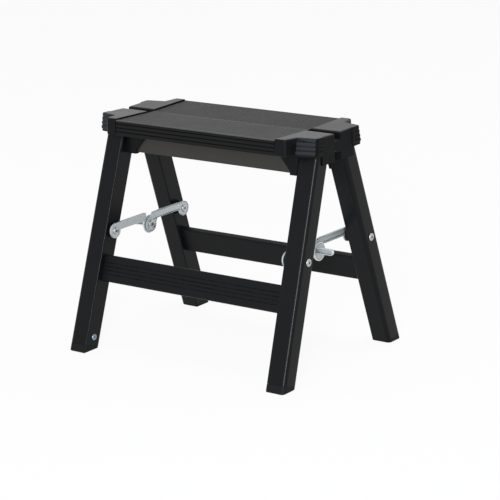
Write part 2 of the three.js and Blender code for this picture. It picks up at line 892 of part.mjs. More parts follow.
for (const side of ['right', 'left']) {
  const mirrored = side === 'left';
  place(stool, `${side}_hinge_pin`, hingePin(), steel, mirrored);
  place(stool, `${side}_hinge_clip`, pinClip(), steel, mirrored);
  place(stool, `${side}_front_link`, links.front, zinc, mirrored);
  place(stool, `${side}_rear_link`, links.rear, zinc, mirrored);
  place(stool, `${side}_knuckle_rivet`, knuckleRivet(), zinc, mirrored);
  place(stool, `${side}_knuckle_washer`, knuckleWasher(), zinc, mirrored);
  place(stool, `${side}_knuckle_tail`, knuckleTail(), zinc, mirrored);
}

export default stool;
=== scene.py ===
import json
import math

import bmesh
import bpy
from mathutils import Matrix, Vector

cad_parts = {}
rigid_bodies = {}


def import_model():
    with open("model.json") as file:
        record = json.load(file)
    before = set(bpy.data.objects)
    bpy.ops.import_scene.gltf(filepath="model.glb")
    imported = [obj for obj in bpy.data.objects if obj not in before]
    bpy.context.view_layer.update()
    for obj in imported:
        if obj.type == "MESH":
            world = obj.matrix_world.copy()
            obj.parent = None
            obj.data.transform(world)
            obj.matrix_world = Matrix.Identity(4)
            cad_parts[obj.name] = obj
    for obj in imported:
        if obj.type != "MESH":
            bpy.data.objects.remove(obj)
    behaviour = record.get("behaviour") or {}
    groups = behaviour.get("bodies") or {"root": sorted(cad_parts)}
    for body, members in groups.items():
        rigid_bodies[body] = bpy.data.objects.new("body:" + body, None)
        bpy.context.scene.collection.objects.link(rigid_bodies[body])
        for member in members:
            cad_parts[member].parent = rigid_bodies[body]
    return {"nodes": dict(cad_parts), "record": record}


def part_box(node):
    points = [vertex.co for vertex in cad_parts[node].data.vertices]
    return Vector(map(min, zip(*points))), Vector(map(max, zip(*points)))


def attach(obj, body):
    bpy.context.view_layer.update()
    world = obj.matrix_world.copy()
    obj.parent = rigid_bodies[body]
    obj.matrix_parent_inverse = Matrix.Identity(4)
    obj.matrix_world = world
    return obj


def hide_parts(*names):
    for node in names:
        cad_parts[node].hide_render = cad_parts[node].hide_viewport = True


for leftover in list(bpy.data.objects):
    bpy.data.objects.remove(leftover)

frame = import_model()
bpy.context.view_layer.update()

bodies = frame["record"]["behaviour"]["bodies"]
bodyOfNode = {node: body for body, nodes in bodies.items() for node in nodes}
halves = ("front", "rear")
sides = ("right", "left")
mm = .001

# how near two points, or a point and a plane, count as touching
near = {
    "cut": .001 * mm,
    "spin": .002 * mm,
    "cad": .004 * mm,
    "plane": .01 * mm,
    "end": .1 * mm,
}
flat = math.radians(.4)  # the turn below which two faces are one
facing = .9  # a face looks along an axis when its normal's part along it is larger

# the stance of the stool, which several pieces share
stance = {
    "deckHeight": 300 * mm,
    "footHalfSpread": 133.6 * mm,
    "topHalfSpread": 34.2 * mm,
    "footHalfWidth": 171.6 * mm,
    "legTopInset": 6.1 * mm,
    "noseHalfWidth": 72.7 * mm,
    "deckSag": math.radians(1.6),
}
lean = math.atan2(stance["footHalfSpread"] - stance["topHalfSpread"], stance["deckHeight"])
splay = math.atan2(stance["legTopInset"] * math.cos(lean), stance["deckHeight"])


def halfFrame(half):
    return Matrix.Rotation(math.pi if half == "rear" else 0, 4, "Z")


def mirrorFor(half, side):
    flip = (side == "left") != (half == "rear")
    return Matrix.Diagonal((-1 if flip else 1, 1, 1, 1))


# each half of the deck tips about its nose, lowest at the split
def deckFrame(half):
    nose = Vector((0, -stance["noseHalfWidth"], stance["deckHeight"]))
    tip = Matrix.Rotation(-stance["deckSag"], 4, "X")
    return halfFrame(half) @ Matrix.Translation(nose) @ tip @ Matrix.Translation(-nose)


# the front of the front legs, with z along the legs
def leanFrame():
    return Matrix.Translation((0, -stance["footHalfSpread"], 0)) @ Matrix.Rotation(-lean, 4, "X")


# one leg's outer front corner, with z along the leg
def legFrame(half, side):
    outward = Matrix.Translation((stance["footHalfWidth"], 0, 0)) @ Matrix.Rotation(-splay, 4, "Y")
    return halfFrame(half) @ mirrorFor(half, side) @ leanFrame() @ outward


view = {
    "target": Vector((68.73, -53.73, 150)) * mm,
    "azimuth": math.radians(36.66),
    "elevation": math.radians(15.345),
    "distance": 2590.6 * mm,
    "roll": math.radians(-1.75),
    "lens": 149.35,
    "sensor": 36,
    "clip": (.1, 60),
}


def makeCamera():
    azimuth, elevation, roll = view["azimuth"], view["elevation"], view["roll"]
    right = Vector((math.cos(azimuth), math.sin(azimuth), 0))
    level = Vector((math.sin(azimuth), -math.cos(azimuth), 0))
    back = level * math.cos(elevation) + Vector((0, 0, math.sin(elevation)))
    up = back.cross(right)
    turnedRight = right * math.cos(roll) + up * math.sin(roll)
    turnedUp = up * math.cos(roll) - right * math.sin(roll)
    turn = Matrix((turnedRight, turnedUp, back)).transposed().to_4x4()
    camera = bpy.data.objects.new("camera", bpy.data.cameras.new("camera"))
    camera.data.lens = view["lens"]
    camera.data.sensor_width = view["sensor"]
    camera.data.clip_start, camera.data.clip_end = view["clip"]
    camera.matrix_world = Matrix.Translation(view["target"] + back * view["distance"]) @ turn
    bpy.context.scene.collection.objects.link(camera)
    bpy.context.scene.camera = camera


makeCamera()
print("camera placed")


class Wire:  # a shader socket that takes part in Python arithmetic
    def __init__(self, finish, socket):
        self.finish, self.socket = finish, socket

    def maths(self, operation, first, second):
        return self.finish.add("ShaderNodeMath", {"operation": operation}, {0: first, 1: second})

    def __add__(self, other):
        return self.maths("ADD", self, other)

    def __radd__(self, other):
        return self.maths("ADD", other, self)

    def __sub__(self, other):
        return self.maths("SUBTRACT", self, other)

    def __rsub__(self, other):
        return self.maths("SUBTRACT", other, self)

    def __mul__(self, other):
        return self.maths("MULTIPLY", self, other)

    def __rmul__(self, other):
        return self.maths("MULTIPLY", other, self)


class Finish:  # a material or world and its nodes
    def __init__(self, owner):
        self.owner = owner
        owner.use_nodes = True
        self.tree = owner.node_tree
        self.tree.nodes.clear()

    def add(self, kind, settings=None, values=None, output=0):
        node = self.tree.nodes.new(kind)
        for key, value in (settings or {}).items():
            setattr(node, key, value)
        for key, value in (values or {}).items():
            socket = node.inputs[key]
            if isinstance(value, Wire):
                self.tree.links.new(value.socket, socket)
            else:
                socket.default_value = (*value, 1) if socket.type == "RGBA" else value
        return Wire(self, node.outputs[output]) if node.outputs else None

    def place(self, scale=(1, 1, 1)):
        coords = self.add("ShaderNodeTexCoord", output="Object")
        return self.add("ShaderNodeMapping", {}, {"Vector": coords, "Scale": scale})

    def noise(self, where, scale, detail, roughness=.55):
        values = {"Vector": where, "Scale": scale, "Detail": detail, "Roughness": roughness}
        return self.add("ShaderNodeTexNoise", {}, values, "Fac")

    def edge(self):  # 1 on the faces that a bevel has marked; on the treads, 1 only on the nose corner and the split lip, which carry a painted highlight
        return self.add("ShaderNodeAttribute", {"attribute_name": "edge"}, {}, "Fac")

    def spread(self, share, low, high, start=0, end=1):
        return self.add("ShaderNodeMapRange", {}, {"Value": share, 1: start, 2: end, 3: low, 4: high})

    def mixed(self, share, first, second):  # 6 and 7 are the sockets for colours
        return self.add("ShaderNodeMix", {"data_type": "RGBA"}, {0: share, 6: first, 7: second}, 2)

    def bump(self, height, look):
        values = {"Height": height, "Distance": look["depth"], "Strength": look["bump"]}
        return self.add("ShaderNodeBump", {}, values)

    def surface(self, **values):
        named = {key.replace("_", " "): value for key, value in values.items()}
        shader = self.add("ShaderNodeBsdfPrincipled", {}, named)
        self.add("ShaderNodeOutputMaterial", {}, {"Surface": shader})
        return self.owner


def newFinish(name):
    return Finish(bpy.data.materials.new(name))


# In each look, roughness runs from low to high over the clouds, and a cloud or grain is a
# noise's scale and detail.
frameBlack = {
    "base": (.0042, .0044, .0050),
    "light": (.0062, .0063, .0067),
    "wornAndHighlight": (.018, .018, .019),
    "roughness": (.17, .29),
    "specular": .105,
    "cloud": (22, 4),
    "wearAndHighlight": (140, 4),
    "wearAndHighlightRange": (.35, .7),
    "wearShare": .5,
    "grain": (2600, 2),
    "grainRough": .05,
    "depth": .03 * mm,
    "bump": .6,
}
# The groove finishes are darker: painted shade in the grooves of the tread's nose and the rail's front.
grooveShadeBlack = {**frameBlack, "base": (.0026, .0027, .0030), "light": (.004, .004, .0042), "specular": .02}
railBlack = {**frameBlack, "roughness": (.37, .49)}
railGrooveShade = {**railBlack, "base": (.0030, .0031, .0034), "light": (.0045, .0045, .0047), "specular": .06}


def makeFrameBlack(name, look):
    f = newFinish(name)
    where = f.place()
    cloud = f.noise(where, *look["cloud"])
    grain = f.noise(where, *look["grain"])
    wearAndHighlight = f.edge() * f.spread(f.noise(where, *look["wearAndHighlight"]), 0, 1, *look["wearAndHighlightRange"])
    colour = f.mixed(cloud, look["base"], look["light"])
    colour = f.mixed(wearAndHighlight * look["wearShare"], colour, look["wornAndHighlight"])
    rough = f.spread(cloud, *look["roughness"]) + grain * look["grainRough"]
    return f.surface(Base_Color=colour, Roughness=rough, Specular_IOR_Level=look["specular"],
                     Normal=f.bump(grain, look))


# The deck's much lighter edge colour is a painted highlight, a light line along the nose corner and the
# split lip.
deckMetal = {
    "base": (.0045, .0045, .0046),
    "light": (.0075, .0074, .0073),
    "wornAndHighlight": (.075, .075, .074),
    "roughness": (.23, .34),
    "specular": .11,
    "streakPlace": (6, 900, 900),
    "streakDetail": 4,
    "streakShare": .4,
    "streakRough": .08,
    "cloud": (18, 4),
    "wearAndHighlightRange": (.3, .7),
    "leastEdgeHighlight": .7,
    "grain": (2200, 2),
    "grainShare": .6,
    "depth": .03 * mm,
    "bump": .5,
    "notches": 0,
}
deckTop = {**deckMetal, "specular": .105, "notches": 18, "notchPitch": 5.6 * mm, "leastNotch": .6}


def makeDeckMetal(name, look):
    f = newFinish(name)
    streak = f.noise(f.place(look["streakPlace"]), 1, look["streakDetail"])
    where = f.place()
    cloud = f.noise(where, *look["cloud"])
    grain = f.noise(where, *look["grain"])
    # painted highlight: the marked nose corner and split lip turn light
    wearAndHighlight = f.edge() * f.spread(cloud, look["leastEdgeHighlight"], 1, *look["wearAndHighlightRange"])
    share = look["streakShare"]
    colour = f.mixed(cloud * (1 - share) + streak * share, look["base"], look["light"])
    colour = f.mixed(wearAndHighlight, colour, look["wornAndHighlight"])
    rough = f.spread(cloud, *look["roughness"]) + streak * look["streakRough"]
    height = streak + grain * look["grainShare"]
    if look["notches"]:  # bands that cross the ribs, pi / 10 apart at a scale of 1
        scale = math.pi / 10 / look["notchPitch"]
        notch = f.add("ShaderNodeTexWave", {}, {"Vector": where, "Scale": scale}, "Fac")
        height = height + notch * f.spread(cloud, look["leastNotch"], 1) * look["notches"]
    return f.surface(Base_Color=colour, Roughness=rough, Specular_IOR_Level=look["specular"],
                     Normal=f.bump(height, look))


# The beam's lighter brownish base is a painted reflection of the bright floor.
beamReflectionMetal = {
    "base": (.026, .0245, .022),
    "light": (.047, .0445, .040),
    "roughness": (.33, .44),
    "metallic": .6,
    "streakPlace": (5, 700, 700),
    "streakDetail": 4,
    "streakShare": .3,
    "streakRough": .06,
    "cloud": (12, 3),
    "depth": .02 * mm,
    "bump": .5,
}


def makeBeamMetal(name, look):
    f = newFinish(name)
    streak = f.noise(f.place(look["streakPlace"]), 1, look["streakDetail"])
    cloud = f.noise(f.place(), *look["cloud"])
    share = look["streakShare"]
    colour = f.mixed(cloud * (1 - share) + streak * share, look["base"], look["light"])
    rough = f.spread(cloud, *look["roughness"]) + streak * look["streakRough"]
    return f.surface(Base_Color=colour, Roughness=rough, Metallic=look["metallic"],
                     Normal=f.bump(streak, look))


capPlastic = {
    "base": (.0045, .0047, .0052),
    "light": (.0072, .0073, .0079),
    "roughness": (.23, .34),
    "specular": .17,
    "cloud": (30, 4),
    "cloudShare": .5,
    "grain": (1500, 3),
    "grainRough": .06,
    "depth": .05 * mm,
    "bump": .5,
}
capWall = {**capPlastic, "specular": .035}
capFront = {**capPlastic, "specular": .085}
# The rib plastic is a lighter, bluer copy of the cap plastic: a painted sheen on the ribs.
ribSheenPlastic = {
    **capPlastic,
    "base": (.013, .014, .0165),
    "light": (.019, .020, .0235),
    "roughness": (.40, .51),
}


def makeCapPlastic(name, look):
    f = newFinish(name)
    where = f.place()
    cloud = f.noise(where, *look["cloud"])
    grain = f.noise(where, *look["grain"])
    colour = f.mixed(cloud * look["cloudShare"], look["base"], look["light"])
    rough = f.spread(cloud, *look["roughness"]) + grain * look["grainRough"]
    return f.surface(Base_Color=colour, Roughness=rough, Specular_IOR_Level=look["specular"],
                     Normal=f.bump(grain, look))


footRubber = {
    "base": (.0052, .0053, .0056),
    "light": (.0085, .0085, .0086),
    "roughness": (.56, .72),
    "specular": .12,
    "cloud": (60, 4),
    "grain": (1300, 3),
    "depth": .08 * mm,
    "bump": .5,
}


def makeFootRubber(name, look):
    f = newFinish(name)
    where = f.place()
    cloud = f.noise(where, *look["cloud"])
    colour = f.mixed(cloud, look["base"], look["light"])
    rough = f.spread(cloud, *look["roughness"])
    return f.surface(Base_Color=colour, Roughness=rough, Specular_IOR_Level=look["specular"],
                     Normal=f.bump(f.noise(where, *look["grain"]), look))


zincPlate = {
    "base": (.53, .545, .525),
    "dull": (.37, .385, .37),
    "roughness": (.20, .38),
    "metallic": 1.0,
    "spangleScale": 420,
    "spangleShare": .25,
    "spangleRough": .05,
    "cloud": (90, 4),
    "cloudShare": .6,
    "grain": (1800, 3),
    "depth": .03 * mm,
    "bump": .5,
}
zincStay = {
    **zincPlate,
    "base": (.55, .58, .585),
    "dull": (.40, .425, .43),
    "roughness": (.38, .56),
    "metallic": .5,
}
zincShade = {**zincPlate, "base": (.14, .145, .15), "dull": (.09, .094, .10), "roughness": (.44, .62)}
zincScrew = {**zincPlate, "base": (.28, .35, .42), "dull": (.19, .24, .30)}
# A lighter copy of the zinc: a painted highlight on the disc's ring and the tab's rim.
zincRimHighlight = {**zincPlate, "base": (.78, .81, .82), "dull": (.62, .65, .66), "metallic": .7}


def makeZincPlate(name, look):
    f = newFinish(name)
    where = f.place()
    spangle = f.add("ShaderNodeTexVoronoi", {}, {"Vector": where, "Scale": look["spangleScale"]}, "Color")
    tone = f.add("ShaderNodeRGBToBW", {}, {"Color": spangle})
    cloud = f.noise(where, *look["cloud"])
    grain = f.noise(where, *look["grain"])
    colour = f.mixed(tone * look["spangleShare"] + cloud * look["cloudShare"], look["base"], look["dull"])
    rough = f.spread(cloud, *look["roughness"]) + tone * look["spangleRough"]
    return f.surface(Base_Color=colour, Roughness=rough, Metallic=look["metallic"],
                     Normal=f.bump(grain + cloud, look))


pinSteel = {
    "base": (.46, .46, .47),
    "dull": (.30, .30, .31),
    "roughness": (.29, .49),
    "metallic": 1.0,
    "cloud": (160, 4),
    "grain": (2000, 3),
    "depth": .02 * mm,
    "bump": .5,
}


def makePinSteel(name, look):
    f = newFinish(name)
    where = f.place()
    cloud = f.noise(where, *look["cloud"])
    colour = f.mixed(cloud, look["base"], look["dull"])
    rough = f.spread(cloud, *look["roughness"])
    return f.surface(Base_Color=colour, Roughness=rough, Metallic=look["metallic"],
                     Normal=f.bump(f.noise(where, *look["grain"]), look))


# the finish of each slot, and of the places on a piece that differ from its slot
finishes = {
    "black_frame": makeFrameBlack("frameBlack", frameBlack),
    "groove": makeFrameBlack("grooveShadeBlack", grooveShadeBlack),
    "rail": makeFrameBlack("railBlack", railBlack),
    "railGrooveShade": makeFrameBlack("railGrooveShade", railGrooveShade),
    "deck": makeDeckMetal("deckMetal", deckMetal),
    "deckTop": makeDeckMetal("deckTop", deckTop),
    "beam": makeBeamMetal("beamReflectionMetal", beamReflectionMetal),
    "cap_plastic": makeCapPlastic("capPlastic", capPlastic),
    "capWall": makeCapPlastic("capWall", capWall),
    "capFront": makeCapPlastic("capFront", capFront),
    "ribSheenPlastic": makeCapPlastic("ribSheenPlastic", ribSheenPlastic),
    "foot_plastic": makeFootRubber("footRubber", footRubber),
    "zinc": makeZincPlate("zincPlate", zincPlate),
    "zincStay": makeZincPlate("zincStay", zincStay),
    "zincShade": makeZincPlate("zincShade", zincShade),
    "zincScrew": makeZincPlate("zincScrew", zincScrew),
    "zincRimHighlight": makeZincPlate("zincRimHighlight", zincRimHighlight),
    "steel": makePinSteel("pinSteel", pinSteel),
}
print("finishes made")


def copyOf(node):  # a CAD node's loose triangles, merged
    mesh = bmesh.new()
    mesh.from_mesh(frame["nodes"][node].data)
    bmesh.ops.remove_doubles(mesh, verts=mesh.verts, dist=near["cad"])
    return mesh


def flattened(mesh):  # the triangles of each flat side become one face
    bmesh.ops.dissolve_limit(mesh, angle_limit=flat, use_dissolve_boundaries=False,
                             verts=mesh.verts, edges=mesh.edges, delimit=set())


# softens the edges that are sharper and longer than the piece's limits, and marks the new faces
def bevelled(mesh, piece):
    sharp = math.radians(piece["sharpAngle"])
    edges = [edge for edge in mesh.edges if edge.is_manifold and edge.calc_length() > piece["leastLength"]
             and edge.calc_face_angle(0) > sharp]
    marks = mesh.faces.layers.float.new("edge")
    made = bmesh.ops.bevel(mesh, geom=edges, offset=piece["edge"], offset_type="OFFSET",
                           segments=piece["edgeSteps"], profile=.5, affect="EDGES", clamp_overlap=True,
                           material=-1)
    for face in made["faces"]:
        face[marks] = 1


# extruding leaves the new parts in an order that changes from run to run, so they are sorted
def inOrder(mesh):
    for parts in (mesh.verts, mesh.edges, mesh.faces):
        spots = {part: sorted(vert.co[:] for vert in getattr(part, "verts", [part])) for part in parts}
        for index, part in enumerate(sorted(parts, key=spots.get)):
            part.index = index
        parts.sort()


def intoPlace(mesh, place):  # a mirrored place turns the faces, so they are turned back
    bmesh.ops.transform(mesh, matrix=place, verts=mesh.verts)
    if place.determinant() < 0:
        bmesh.ops.reverse_faces(mesh, faces=mesh.faces)


def joined(mesh, other):  # adds the other mesh to the first and frees it
    data = bpy.data.meshes.new("joined")
    other.to_mesh(data)
    other.free()
    mesh.from_mesh(data)
    bpy.data.meshes.remove(data)
    mesh.normal_update()


# a full turn of a profile of (along x, radius) pairs about a centre, with faces pointing outwards
def spun(mesh, profile, centre, closed, steps):
    verts = [mesh.verts.new((along, centre.y + out, centre.z)) for along, out in profile]
    pairs = list(zip(verts, verts[1:])) + ([(verts[-1], verts[0])] if closed else [])
    edges = [mesh.edges.new(pair) for pair in pairs]
    bmesh.ops.spin(mesh, geom=verts + edges, axis=(1, 0, 0), cent=centre, angle=2 * math.pi,
                   steps=steps, use_merge=True)
    bmesh.ops.remove_doubles(mesh, verts=mesh.verts, dist=near["spin"])
    bmesh.ops.recalc_face_normals(mesh, faces=mesh.faces)


# looks are the finishes of the material indices, the slot's own where none is given
def intoObject(mesh, name, node, slot, looks=(), sharpAngle=35):
    data = bpy.data.meshes.new(name)
    inOrder(mesh)
    mesh.normal_update()
    mesh.to_mesh(data)
    mesh.free()
    for polygon in data.polygons:
        polygon.use_smooth = True
    data.set_sharp_from_angle(angle=math.radians(sharpAngle))
    piece = bpy.data.objects.new(name, data)
    bpy.context.scene.collection.objects.link(piece)
    for look in looks or [slot]:
        data.materials.append(finishes[look])
    weighted = piece.modifiers.new("faces", "WEIGHTED_NORMAL")
    weighted.keep_sharp = True
    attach(piece, bodyOfNode[node])
    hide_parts(node)


tube = {
    "width": 27 * mm,
    "depth": 26 * mm,
    "wall": 1.5 * mm,
    "outerCorner": 5 * mm,
    "innerCorner": 1.6 * mm,
    "leastCorner": .3 * mm,
    "cornerSteps": 6,
    "top": 312.18 * mm,
}
foot = {
    "soleHeight": 11.4 * mm,
    "gap": .3 * mm,
    "plugLength": 30 * mm,
    "edge": 1.6 * mm,
    "edgeSteps": 4,
}
rail = {
    "sharpAngle": 20,
    "leastLength": 20 * mm,
    "edge": .25 * mm,
    "edgeSteps": 2,
    "front": 8.2 * mm,
    "middle": 114.15 * mm,
    "groovedHalfHeight": 8.3 * mm,
    "grooveDepths": (.08 * mm, .7 * mm),
}


# a bar along the leg with larger outer corners, whose sides stand in from the leg's by inset
def legBar(mesh, low, high, inset=0):
    size = Vector((tube["width"] - 2 * inset, tube["depth"] - 2 * inset, high - low))
    middle = Vector((-tube["width"] / 2, tube["depth"] / 2, (low + high) / 2))
    place = Matrix.Translation(middle) @ Matrix.Diagonal((*size, 1))
    verts = bmesh.ops.create_cube(mesh, size=1, matrix=place)["verts"]
    upright = [edge for edge in dict.fromkeys(edge for vert in verts for edge in vert.link_edges)
               if abs(edge.verts[0].co.z - edge.verts[1].co.z) > size.z / 2]
    for radius, outer in ((tube["outerCorner"], True), (tube["innerCorner"], False)):
        edges = [edge for edge in upright if edge.is_valid and (edge.verts[0].co.x > middle.x) == outer]
        bmesh.ops.bevel(mesh, geom=edges, offset=max(radius - inset, tube["leastCorner"]),
                        offset_type="OFFSET", segments=tube["cornerSteps"], profile=.5, affect="EDGES",
                        material=-1)


def makeLeg(half, side):
    mesh = bmesh.new()
    legBar(mesh, foot["soleHeight"], tube["top"])
    ends = [face for face in mesh.faces if abs(face.normal.z) > facing]
    bmesh.ops.inset_region(mesh, faces=ends, thickness=tube["wall"], use_even_offset=True)
    loops = [edge for face in ends for edge in face.edges]
    bmesh.ops.delete(mesh, geom=ends, context="FACES_ONLY")
    bmesh.ops.bridge_loops(mesh, edges=loops)  # the inner walls
    intoPlace(mesh, legFrame(half, side))
    intoObject(mesh, f"{half}_{side}_leg_tube", f"{half}_{side}_leg", "black_frame")


def makeFoot(half, side):
    mesh = bmesh.new()
    place = legFrame(half, side)
    soleTop = foot["soleHeight"] - foot["gap"]
    legBar(mesh, -tube["depth"], soleTop)
    ground = place.inverted() @ Vector((0, 0, 0))
    upward = (place.inverted().to_3x3() @ Vector((0, 0, 1))).normalized()
    geom = mesh.verts[:] + mesh.edges[:] + mesh.faces[:]
    cut = bmesh.ops.bisect_plane(mesh, geom=geom, dist=near["cut"], plane_co=ground, plane_no=upward,
                                 clear_inner=True)["geom_cut"]
    rim = [item for item in cut if isinstance(item, bmesh.types.BMEdge)]
    bmesh.ops.contextual_create(mesh, geom=rim)
    rim = [edge for edge in mesh.edges
           if all(abs((vert.co - ground).dot(upward)) < near["plane"] for vert in edge.verts)]
    bmesh.ops.bevel(mesh, geom=rim, offset=foot["edge"], offset_type="OFFSET", segments=foot["edgeSteps"],
                    profile=.5, affect="EDGES", clamp_overlap=True, material=-1)
    legBar(mesh, soleTop, foot["soleHeight"] + foot["plugLength"], tube["wall"] + foot["gap"])
    intoPlace(mesh, place)
    intoObject(mesh, f"{half}_{side}_foot_plug", f"{half}_{side}_foot", "foot_plastic")


def makeRail(half):
    mesh = copyOf(half + "_rail")
    flattened(mesh)
    bevelled(mesh, rail)
    toLocal = (halfFrame(half) @ leanFrame()).inverted()
    shallow, deepest = rail["grooveDepths"]
    # faces in the rail's grooves take the darker groove finish, a painted shade
    for face in mesh.faces:
        middle = toLocal @ face.calc_center_median()
        inBand = abs(middle.z - rail["middle"]) < rail["groovedHalfHeight"]
        inGroove = inBand and shallow < middle.y - rail["front"] < deepest
        face.material_index = 1 if inGroove else 0
    intoObject(mesh, half + "_rail_bar", half + "_rail", "black_frame", ["rail", "railGrooveShade"])


for half in halves:
    makeRail(half)
    for side in sides:
        makeLeg(half, side)
        makeFoot(half, side)
print("legs, feet and rails made")

plank = {
    "sharpAngle": 20,
    "leastLength": 60 * mm,
    "edge": .22 * mm,
    "edgeSteps": 2,
    "deckEnd": 125 * mm,
    "endGap": 2.4 * mm,
    "noseGap": .6 * mm,
    "beamReach": (10 * mm, 34.5 * mm),
    "beamTop": 297 * mm,
    "noseMiddle": 10 * mm,
    "groovedHalfHeight": 5.75 * mm,
    "grooveDepths": (.08 * mm, .7 * mm),
    "ribDepth": .6 * mm,
    "highlitCorner": 1.4 * mm,
    "highlitLip": 1.3 * mm,
    "lipHeight": .3 * mm,
}


def makeTread(half):
    node = half + "_tread"
    mesh = copyOf(node)
    flattened(mesh)
    toLocal = deckFrame(half).inverted()
    nose, top = -stance["noseHalfWidth"], stance["deckHeight"]
    for vert in mesh.verts:  # the plank stops a little short of its caps, its nose closest
        if abs(abs(vert.co.x) - plank["deckEnd"]) < near["end"]:
            onNose = (toLocal @ vert.co).y < nose + plank["highlitCorner"]
            vert.co.x -= math.copysign(plank["noseGap" if onNose else "endGap"], vert.co.x)
    bevelled(mesh, plank)
    marks = mesh.faces.layers.float["edge"]
    back = max((toLocal @ vert.co).y for vert in mesh.verts)
    beamInner, beamOuter = plank["beamReach"]
    shallow, deepest = plank["grooveDepths"]
    for face in mesh.faces:
        middle = toLocal @ face.calc_center_median()
        deep, drop = middle.y - nose, top - middle.z
        # the beam's faces take the lighter beam finish, a painted reflection
        onBeam = -beamOuter < middle.y < -beamInner and middle.z < plank["beamTop"]
        inBand = abs(drop - plank["noseMiddle"]) < plank["groovedHalfHeight"]
        inGroove = inBand and shallow < deep < deepest
        notched = half == "rear" and drop < plank["ribDepth"] and deep > plank["highlitCorner"]
        # index 2 gives the nose grooves a painted shade
        face.material_index = 1 if onBeam else 2 if inGroove else 3 if notched else 0
        # the nose corner and the split lip are marked for a painted highlight along these edges
        onCorner = deep < plank["highlitCorner"] and drop < plank["highlitCorner"]
        onLip = back - middle.y < plank["highlitLip"] and drop < plank["lipHeight"]
        face[marks] = 1 if onCorner or onLip else 0
    intoObject(mesh, half + "_tread_plank", node, "deck", ["deck", "beam", "groove", "deckTop"])


for half in halves:
    makeTread(half)
print("treads made")

cap = {
    "top": 301.5 * mm,
    "rounding": 2.2 * mm,
    "roundingSteps": 4,
    "innerRounding": .5 * mm,
    "leastTurn": .05,
    "rimMerge": .25 * mm,
    "straightAngle": math.radians(10.5),
    "earOuter": 139.8 * mm,
    "rootFlare": 4 * mm,
    "recess": 6 * mm,
    "front": -46.555 * mm,
    "outer": 169.475 * mm,
    "blockBack": -33 * mm,
    "blockMargin": .5 * mm,
    "blockMerge": .02 * mm,
    "blockCorner": 5 * mm,
    "cornerSteps": 6,
    "ribDrops": (3.0 * mm, 8.0 * mm, 13.2 * mm, 18.5 * mm),
    "ribHalfHeight": 2.7 * mm,
    "ribFrontStep": .8 * mm,
    "ribSideStep": .3 * mm,
    "ribProud": .3 * mm,
    "ribRoot": 1.0 * mm,
    "ribStart": 2 * mm,
    "ribEnd": .2 * mm,
    "ribSegments": 20,
    "ribFacing": .35,
    "wallFacing": .95,
    "frontFacing": .5,
    "sharpAngle": 30,
}


def roundedPath(points, radii, steps):  # points with each corner of a radius above 0 turned into a curve
    path = []
    for index, (point, radius) in enumerate(zip(points, radii)):
        if radius == 0:
            path.append(point)
            continue
        before = (points[index - 1] - point).normalized()
        after = (points[index + 1] - point).normalized()
        reach = radius / math.tan(before.angle(after) / 2)
        start, end = point + before * reach, point + after * reach
        for step in range(steps + 1):
            t = step / steps
            path.append(start * (1 - t) ** 2 + point * 2 * t * (1 - t) + end * t ** 2)
    return path


def ringAmong(made):  # the vertices of an extruded ring, and the edges between them
    verts = [item for item in made if isinstance(item, bmesh.types.BMVert)]
    edges = [item for item in made if isinstance(item, bmesh.types.BMEdge)
             and all(vert in verts for vert in item.verts)]
    return verts, edges


def sweptRib(mesh, path, halfDepth, halfHeight):
    segments = cap["ribSegments"]
    ring = bmesh.ops.create_circle(mesh, cap_ends=True, radius=1, segments=segments)["verts"]
    flat = Matrix.Diagonal((halfDepth, halfHeight, 1, 1))
    places = []
    for index, point in enumerate(path):
        along = (path[min(index + 1, len(path) - 1)] - path[max(index - 1, 0)]).normalized()
        across = along.cross(Vector((0, 0, 1))).normalized()
        turn = Matrix((across, Vector((0, 0, 1)), along)).transposed().to_4x4()
        places.append(Matrix.Translation(point) @ turn @ flat)
    bmesh.ops.transform(mesh, matrix=places[0], verts=ring)
    edges = [edge for edge in mesh.edges if all(vert in ring for vert in edge.verts)]
    for last, place in zip(places, places[1:]):
        ring, edges = ringAmong(bmesh.ops.extrude_edge_only(mesh, edges=edges)["geom"])
        bmesh.ops.transform(mesh, matrix=place @ last.inverted(), verts=ring)
    bmesh.ops.edgeloop_fill(mesh, edges=edges)


# four ribs around the block's outer front corner, each lower one standing further out
def blockRibs(half, side):
    mesh = bmesh.new()
    for index, drop in enumerate(cap["ribDrops"]):
        frontReach = cap["ribFrontStep"] * index + cap["ribProud"]
        sideReach = cap["ribSideStep"] * index + cap["ribProud"]
        halfDepth = (cap["ribRoot"] + frontReach) / 2
        height = cap["top"] - drop
        front = cap["front"] - frontReach + halfDepth
        outer = cap["outer"] + sideReach - halfDepth
        flare = cap["earOuter"] + cap["rootFlare"]
        root = Vector((flare - cap["ribStart"], front - cap["recess"], height))
        corner = Vector((outer, front, height))
        end = Vector((outer, cap["blockBack"] - cap["ribEnd"], height))
        radii = [0, cap["blockCorner"] - halfDepth, 0]
        path = roundedPath([root, corner, end], radii, cap["cornerSteps"])
        sweptRib(mesh, path, halfDepth, cap["ribHalfHeight"])
    bmesh.ops.recalc_face_normals(mesh, faces=mesh.faces)
    mesh.normal_update()
    for face in mesh.faces:  # the outer side is as dull as the wall
        # all but the outer side take the lighter rib plastic, a painted sheen
        face.material_index = 1 if face.normal.x > cap["ribFacing"] else 2
    intoPlace(mesh, deckFrame(half) @ mirrorFor(half, side))
    return mesh


def levelRim(mesh, level):
    return [edge for edge in mesh.edges if edge.is_boundary and all(
        abs(vert.co.z - level) < near["plane"] for vert in edge.verts)]


